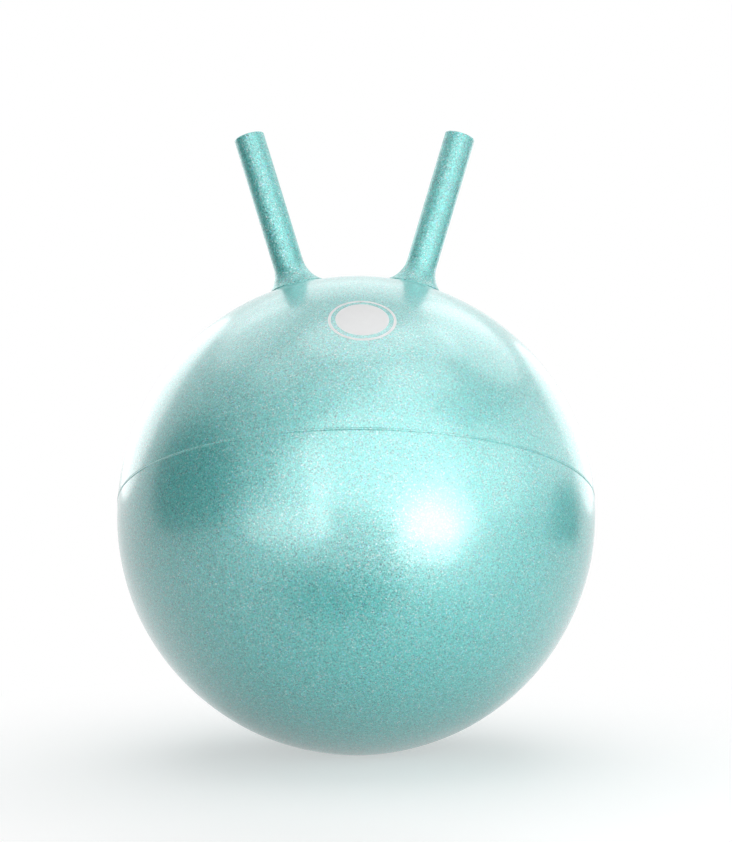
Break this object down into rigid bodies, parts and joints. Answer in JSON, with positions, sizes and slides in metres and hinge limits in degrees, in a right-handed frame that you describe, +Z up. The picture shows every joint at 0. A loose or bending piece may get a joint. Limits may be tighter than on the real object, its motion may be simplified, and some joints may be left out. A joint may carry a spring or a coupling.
{
  "type": "hopper ball",
  "caption": "Bouncing ball to sit on, blown up with air, with two upright flexible horns to hold and a plug valve at the back.",
  "frame": {"origin": "middle of the flattened patch that the ball stands on, at floor level, straight under the ball's middle", "axes": "+Z up, +X to the right as seen from the badge's side, -Y towards the badge; the horns stand in the X-Z plane"},
  "size_m": [0.4506, 0.45, 0.5917],
  "materials": {
    "ball_skin": "soft PVC with fine turquoise glitter under a gloss surface",
    "horn_skin": "the same glittered PVC, which looks deeper on the thin horns",
    "valve_rubber": "soft matte",
    "plug_white": "smooth, slightly glossy",
    "badge_print": "printed film, satin"
  },
  "bodies": {
    "ball": {"upper_shell": "ball_skin", "lower_shell": "ball_skin", "equator_seam": "ball_skin", "valve_seat": "valve_rubber", "badge_disc": "badge_print", "badge_ring": "badge_print"},
    "left_horn_root": {"left_horn_foot": "horn_skin"},
    "left_horn": {"left_horn_grip": "horn_skin"},
    "right_horn_root": {"right_horn_foot": "horn_skin"},
    "right_horn": {"right_horn_grip": "horn_skin"},
    "valve_plug": {"valve_plug": "plug_white"}
  },
  "joints": [
    {"name": "left_horn_fore_aft", "type": "hinge", "parent": "ball", "child": "left_horn_root", "pos_m": [-0.0604, 0, 0.44947], "axis": [1, 0, 0], "range_deg": [-25, 25], "stiffness_Nm_per_rad": 1.5, "deforming": ["left_horn_foot"]},
    {"name": "left_horn_splay", "type": "hinge", "parent": "left_horn_root", "child": "left_horn", "pos_m": [-0.06684, 0, 0.47061], "axis": [0, -1, 0], "range_deg": [-20, 20], "stiffness_Nm_per_rad": 1.5},
    {"name": "right_horn_fore_aft", "type": "hinge", "parent": "ball", "child": "right_horn_root", "pos_m": [0.0604, 0, 0.44947], "axis": [1, 0, 0], "range_deg": [-25, 25], "stiffness_Nm_per_rad": 1.5, "deforming": ["right_horn_foot"]},
    {"name": "right_horn_splay", "type": "hinge", "parent": "right_horn_root", "child": "right_horn", "pos_m": [0.06684, 0, 0.47061], "axis": [0, 1, 0], "range_deg": [-20, 20], "stiffness_Nm_per_rad": 1.5},
    {"name": "valve_plug_pull", "type": "slide", "parent": "ball", "child": "valve_plug", "axis": [0, 0.866, -0.5], "range_m": [0, 0.03]}
  ]
}
